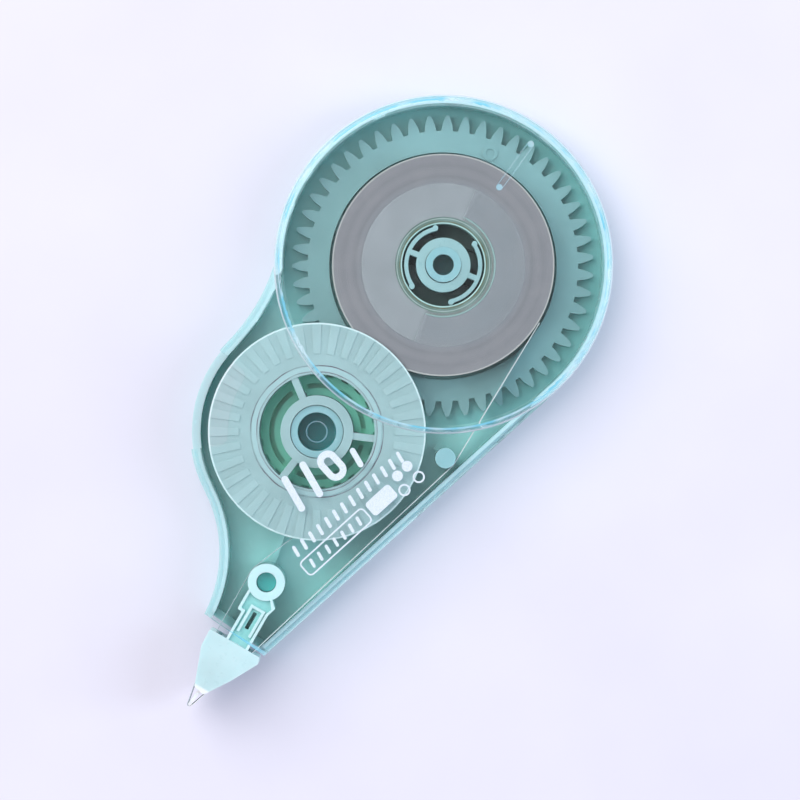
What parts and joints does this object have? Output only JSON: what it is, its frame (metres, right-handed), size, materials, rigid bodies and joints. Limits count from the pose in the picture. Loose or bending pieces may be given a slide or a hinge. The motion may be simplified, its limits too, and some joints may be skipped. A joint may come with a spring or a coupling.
{
  "type": "correction tape dispenser",
  "caption": "Flat two-wheel correction tape dispenser: translucent shells, geared supply and take-up reels, slip clutch, guided tape and wedge tip.",
  "frame": {"origin": "middle of the footprint, on the back shell's outer face", "axes": "+X from the tape tip towards the supply wheel, +Z from the back shell towards the front shell"},
  "size_m": [0.0948, 0.0472, 0.0132],
  "materials": {
    "case_back": "translucent mint-green moulding, polished",
    "case_front": "clear moulding with a faint cyan tint at its edges, polished",
    "tip_plastic": "pale mint translucent moulding, satin",
    "tape_white": "white correction film on a carrier, matt",
    "carrier_film": "used clear carrier, slightly hazy",
    "gear_plastic": "soft teal translucent moulding, satin",
    "clutch_plastic": "pale mint moulding, satin",
    "core_clear": "clear moulded ring",
    "tape_winding": "fine wound edge of the tape roll, matt",
    "washer_film": "thin frosted film",
    "reel_frosted": "frosted translucent moulding with ribbed flange"
  },
  "bodies": {
    "case": {"back_shell": "case_back", "front_shell": "case_front", "tip_head": "tip_plastic", "feed_tape": "tape_white", "return_tape": "carrier_film"},
    "supply_wheel": {"supply_gear": "gear_plastic", "slip_clutch": "clutch_plastic"},
    "spool": {"supply_core": "core_clear", "supply_roll": "tape_winding", "rear_film_washer": "washer_film", "front_film_washer": "washer_film"},
    "takeup_wheel": {"takeup_reel": "reel_frosted", "takeup_gear": "gear_plastic", "takeup_roll": "carrier_film"}
  },
  "joints": [
    {"name": "supply_gear_spin", "type": "hinge", "parent": "case", "child": "supply_wheel", "pos_m": [0.0238, 0, 0.0026], "axis": [0, 0, 1], "continuous": true},
    {"name": "spool_slip", "type": "hinge", "parent": "supply_wheel", "child": "spool", "pos_m": [0.0238, 0, 0.0065], "axis": [0, 0, 1], "continuous": true},
    {"name": "takeup_spin", "type": "hinge", "parent": "case", "child": "takeup_wheel", "pos_m": [-0.00517, 0.00363, 0.0026], "axis": [0, 0, 1], "continuous": true}
  ],
  "couplings": [
    {"joint": "takeup_spin", "follows": "supply_gear_spin", "ratio": -2.3182}
  ]
}
